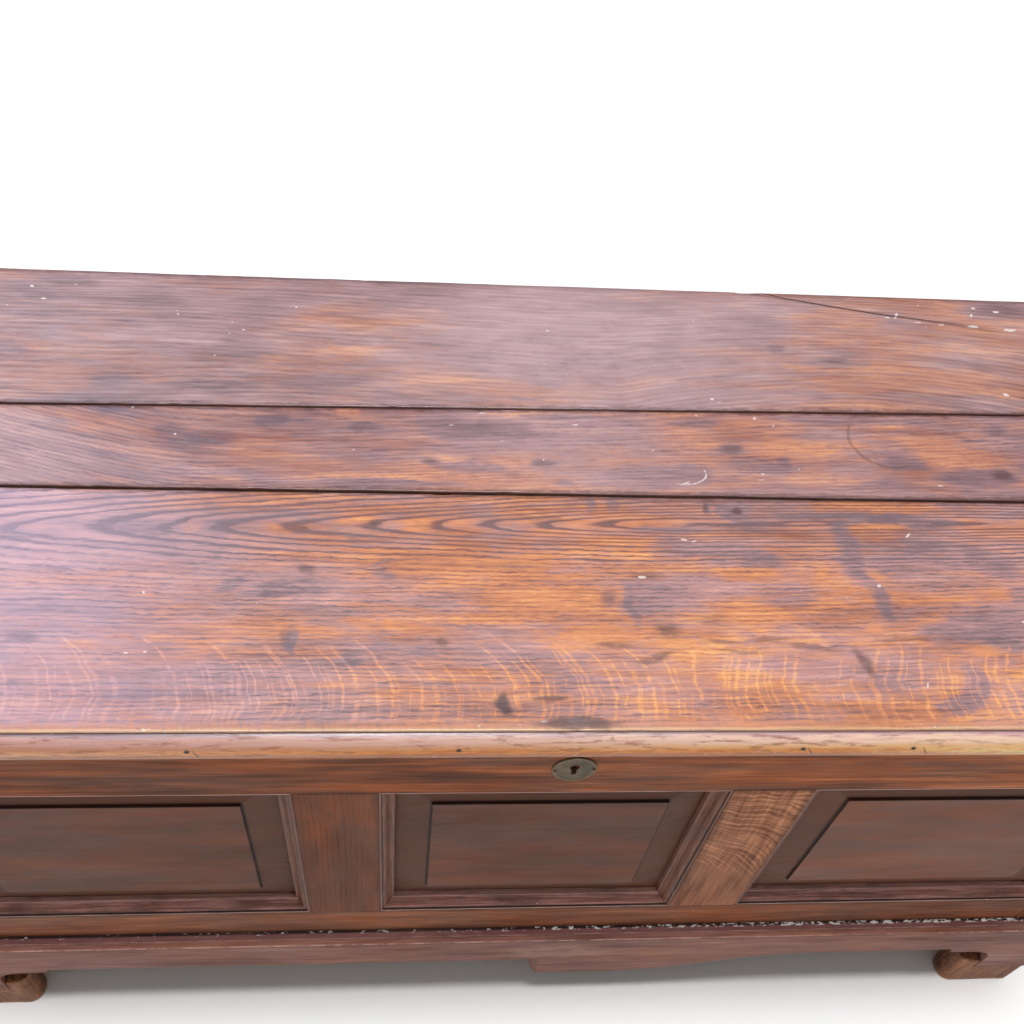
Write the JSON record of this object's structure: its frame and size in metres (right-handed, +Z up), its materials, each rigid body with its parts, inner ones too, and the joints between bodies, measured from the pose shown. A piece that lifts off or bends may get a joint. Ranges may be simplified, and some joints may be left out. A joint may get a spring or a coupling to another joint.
{
  "type": "panelled chest",
  "caption": "Long oak chest with a lifting plank lid, fielded front panels, a moulded plinth with a shaped apron, bracket feet, strap hinges and a lock.",
  "frame": {"origin": "on the floor, under the middle of the chest's overall box", "axes": "+X to the chest's right as seen from the front, +Y towards its back, +Z up; the panelled front faces -Y"},
  "size_m": [1.38, 0.5332, 0.7524],
  "materials": {
    "lid_oak": "old wax polish, glossy, with worn edges, open joints and pale ray flecks",
    "frame_oak": "dark red-brown wax polish, satin",
    "panel_oak": "dark brown wax polish, satin, with lighter worn arrises",
    "plinth_oak": "dry wax polish, dusty on its ledges",
    "rough_oak": "unpolished, sawn and planed, darkened with age",
    "old_iron": "wrought, dark and lightly rusted",
    "spring_steel": "dull",
    "tarnished_brass": "dull greenish-grey patina with a brighter rim"
  },
  "bodies": {
    "carcase": {"back_bottom_rail": "rough_oak", "back_left_panel": "rough_oak", "back_muntin": "rough_oak", "back_right_panel": "rough_oak", "back_top_rail": "rough_oak", "bolt_spring": "spring_steel", "carcase_nails": "old_iron", "corner_blocks": "rough_oak", "escutcheon": "tarnished_brass", "escutcheon_pins": "tarnished_brass", "floor_front_board": "rough_oak", "floor_ledgers": "rough_oak", "floor_middle_board": "rough_oak", "floor_rear_board": "rough_oak", "front_bottom_rail": "frame_oak", "front_centre_mouldings": "frame_oak", "front_centre_panel": "panel_oak", "front_left_foot": "plinth_oak", "front_left_mouldings": "frame_oak", "front_left_muntin": "frame_oak", "front_left_panel": "panel_oak", "front_left_post": "frame_oak", "front_plinth_board": "plinth_oak", "front_right_foot": "plinth_oak", "front_right_mouldings": "frame_oak", "front_right_muntin": "frame_oak", "front_right_panel": "panel_oak", "front_right_post": "frame_oak", "front_top_rail": "frame_oak", "hinge_pins": "old_iron", "left_end_bottom_rail": "frame_oak", "left_end_mouldings": "frame_oak", "left_end_panel": "panel_oak", "left_end_top_rail": "frame_oak", "left_hinge_leaf": "old_iron", "left_plinth_board": "plinth_oak", "lock_case": "old_iron", "lock_plate": "old_iron", "rear_left_foot": "plinth_oak", "rear_left_post": "frame_oak", "rear_right_foot": "plinth_oak", "rear_right_post": "frame_oak", "right_end_bottom_rail": "frame_oak", "right_end_mouldings": "frame_oak", "right_end_panel": "panel_oak", "right_end_top_rail": "frame_oak", "right_hinge_leaf": "old_iron", "right_plinth_board": "plinth_oak"},
    "lid": {"lid_front_board": "lid_oak", "lid_middle_board": "lid_oak", "lid_rear_board": "lid_oak", "lid_left_cleat": "lid_oak", "lid_right_cleat": "lid_oak", "left_hinge_strap": "old_iron", "right_hinge_strap": "old_iron", "lid_hasp": "old_iron", "lid_nails": "old_iron"},
    "bolt": {"lock_bolt": "old_iron"}
  },
  "joints": [
    {"name": "lid_hinge", "type": "hinge", "parent": "carcase", "child": "lid", "pos_m": [0, 0.2542, 0.7232], "axis": [-1, 0, 0], "range_deg": [0, 105]},
    {"name": "bolt_slide", "type": "slide", "parent": "carcase", "child": "bolt", "axis": [1, 0, 0], "range_m": [0, 0.012]}
  ]
}
